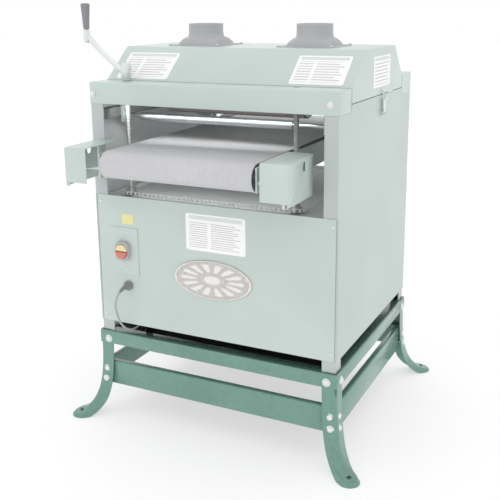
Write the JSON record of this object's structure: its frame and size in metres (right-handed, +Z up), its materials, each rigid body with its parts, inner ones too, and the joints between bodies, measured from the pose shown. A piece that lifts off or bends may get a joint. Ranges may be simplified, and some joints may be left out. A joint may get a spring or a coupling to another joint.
{
  "type": "thickness planer",
  "caption": "Twin-drum abrasive thickness planer with a powered feed belt, crank-raised table and hinged dust hood, on a bolted steel stand.",
  "frame": {"origin": "on the floor, at the centre of the four foot-bolt holes", "axes": "+X to the operator's right, +Y from the infeed front to the back, +Z up"},
  "size_m": [0.826, 0.8405, 1.103],
  "materials": {
    "stand_green": "gloss green paint",
    "machine_paint": "pale mint paint",
    "inner_grey": "grey paint",
    "bright_steel": "bright plated steel",
    "drum_aluminium": "satin aluminium",
    "abrasive": "coated abrasive cloth",
    "belt_grey": "fine ribbed grey belt",
    "black_rubber": "matt rubber",
    "grip_plastic": "polished dark plastic",
    "port_plastic": "matt grey plastic",
    "switch_black": "moulded plastic",
    "switch_red": "red plastic",
    "switch_yellow": "yellow plastic",
    "label_white": "white film",
    "badge_bronze": "dull cast metal",
    "lead_grey": "pale grey cable sheath"
  },
  "bodies": {
    "stand_and_cabinet": {"leg_front_left": "stand_green", "leg_front_right": "stand_green", "leg_rear_left": "stand_green", "leg_rear_right": "stand_green", "top_rails": "stand_green", "lower_rails": "stand_green", "stand_bolts": "bright_steel", "corner_posts": "machine_paint", "front_beam": "machine_paint", "rear_beam": "machine_paint", "chain_deck": "inner_grey", "base_pan": "inner_grey", "front_panel": "machine_paint", "rear_panel": "machine_paint", "left_panel": "machine_paint", "right_panel": "machine_paint", "panel_screws": "bright_steel", "control_plate": "machine_paint", "switch_housing": "switch_black", "cable_glands": "black_rubber", "power_lead": "lead_grey", "badge_plate": "badge_bronze", "label_plates": "label_white", "drum_bearings": "inner_grey", "roller_brackets": "inner_grey", "screw_bearings": "inner_grey", "drive_belt": "black_rubber", "lift_chain": "bright_steel", "motor_plate": "inner_grey", "drum_motor": "inner_grey"},
    "stop_paddle": {"stop_paddle": "switch_red"},
    "start_button": {"start_button": "switch_yellow"},
    "motor_pulley": {"motor_pulley": "bright_steel"},
    "hood": {"hood_shell": "machine_paint", "dust_port_left": "port_plastic", "dust_port_right": "port_plastic", "hood_labels": "label_white"},
    "latch_left": {"latch_left": "bright_steel"},
    "latch_right": {"latch_right": "bright_steel"},
    "front_drum": {"front_drum": "drum_aluminium", "front_abrasive": "abrasive"},
    "rear_drum": {"rear_drum": "drum_aluminium", "rear_abrasive": "abrasive"},
    "front_pressure_roller": {"front_pressure_roller": "bright_steel"},
    "rear_pressure_roller": {"rear_pressure_roller": "bright_steel"},
    "feed_table": {"table_frame": "machine_paint", "table_bed": "inner_grey", "feed_belt": "belt_grey", "left_cover": "machine_paint", "right_cover": "machine_paint", "cover_bolts": "bright_steel", "gear_motor": "inner_grey"},
    "idler_roller": {"idler_roller": "bright_steel"},
    "drive_roller": {"drive_roller": "bright_steel"},
    "crank_screw": {"screw_front_left": "bright_steel", "crank_arm": "drum_aluminium"},
    "front_right_screw": {"screw_front_right": "bright_steel"},
    "rear_left_screw": {"screw_rear_left": "bright_steel"},
    "rear_right_screw": {"screw_rear_right": "bright_steel"},
    "crank_grip": {"crank_grip": "grip_plastic"}
  },
  "joints": [
    {"name": "table_lift", "type": "slide", "parent": "stand_and_cabinet", "child": "feed_table", "axis": [0, 0, 1], "range_m": [-0.04, 0.044]},
    {"name": "crank_turn", "type": "hinge", "parent": "stand_and_cabinet", "child": "crank_screw", "pos_m": [-0.26, -0.231, 0.645], "axis": [0, 0, 1], "range_deg": [-3961, 3601]},
    {"name": "front_right_screw_turn", "type": "hinge", "parent": "stand_and_cabinet", "child": "front_right_screw", "pos_m": [0.208, -0.231, 0.645], "axis": [0, 0, 1], "range_deg": [-3961, 3601]},
    {"name": "rear_left_screw_turn", "type": "hinge", "parent": "stand_and_cabinet", "child": "rear_left_screw", "pos_m": [-0.26, 0.231, 0.645], "axis": [0, 0, 1], "range_deg": [-3961, 3601]},
    {"name": "rear_right_screw_turn", "type": "hinge", "parent": "stand_and_cabinet", "child": "rear_right_screw", "pos_m": [0.208, 0.231, 0.645], "axis": [0, 0, 1], "range_deg": [-3961, 3601]},
    {"name": "crank_grip_spin", "type": "hinge", "parent": "crank_screw", "child": "crank_grip", "pos_m": [-0.377, -0.231, 1.022], "axis": [0, 0, 1], "continuous": true},
    {"name": "hood_hinge", "type": "hinge", "parent": "stand_and_cabinet", "child": "hood", "pos_m": [0, 0.203, 0.9154], "axis": [-1, 0, 0], "range_deg": [0, 75]},
    {"name": "latch_left_lever", "type": "hinge", "parent": "stand_and_cabinet", "child": "latch_left", "pos_m": [-0.34, 0.018, 0.829], "axis": [0, -1, 0], "range_deg": [0, 115]},
    {"name": "latch_right_lever", "type": "hinge", "parent": "stand_and_cabinet", "child": "latch_right", "pos_m": [0.34, 0.018, 0.829], "axis": [0, 1, 0], "range_deg": [0, 115]},
    {"name": "front_drum_spin", "type": "hinge", "parent": "stand_and_cabinet", "child": "front_drum", "pos_m": [0, -0.08, 0.868], "axis": [1, 0, 0], "continuous": true},
    {"name": "rear_drum_spin", "type": "hinge", "parent": "stand_and_cabinet", "child": "rear_drum", "pos_m": [0, 0.065, 0.868], "axis": [1, 0, 0], "continuous": true},
    {"name": "motor_spin", "type": "hinge", "parent": "stand_and_cabinet", "child": "motor_pulley", "pos_m": [0, 0, 0.405], "axis": [1, 0, 0], "continuous": true},
    {"name": "front_pressure_roller_spin", "type": "hinge", "parent": "stand_and_cabinet", "child": "front_pressure_roller", "pos_m": [0, -0.186, 0.815], "axis": [1, 0, 0], "continuous": true},
    {"name": "rear_pressure_roller_spin", "type": "hinge", "parent": "stand_and_cabinet", "child": "rear_pressure_roller", "pos_m": [0, 0.186, 0.815], "axis": [1, 0, 0], "continuous": true},
    {"name": "drive_roller_spin", "type": "hinge", "parent": "feed_table", "child": "drive_roller", "pos_m": [0, 0.3815, 0.7245], "axis": [1, 0, 0], "continuous": true},
    {"name": "idler_roller_spin", "type": "hinge", "parent": "feed_table", "child": "idler_roller", "pos_m": [0, -0.3815, 0.7245], "axis": [1, 0, 0], "continuous": true},
    {"name": "stop_paddle_press", "type": "hinge", "parent": "stand_and_cabinet", "child": "stop_paddle", "pos_m": [-0.251, -0.3025, 0.4755], "axis": [1, 0, 0], "range_deg": [0, 12], "stiffness_Nm_per_rad": 0.02},
    {"name": "start_button_press", "type": "slide", "parent": "stand_and_cabinet", "child": "start_button", "axis": [0, 1, 0], "range_m": [0, 0.003], "stiffness_N_per_m": 60}
  ],
  "couplings": [
    {"joint": "crank_turn", "follows": "table_lift", "rad_per_m": -1570.8},
    {"joint": "front_right_screw_turn", "follows": "table_lift", "rad_per_m": -1570.8},
    {"joint": "rear_left_screw_turn", "follows": "table_lift", "rad_per_m": -1570.8},
    {"joint": "rear_right_screw_turn", "follows": "table_lift", "rad_per_m": -1570.8},
    {"joint": "rear_drum_spin", "follows": "front_drum_spin", "ratio": 1},
    {"joint": "motor_spin", "follows": "front_drum_spin", "ratio": 0.8421},
    {"joint": "idler_roller_spin", "follows": "drive_roller_spin", "ratio": 1}
  ]
}
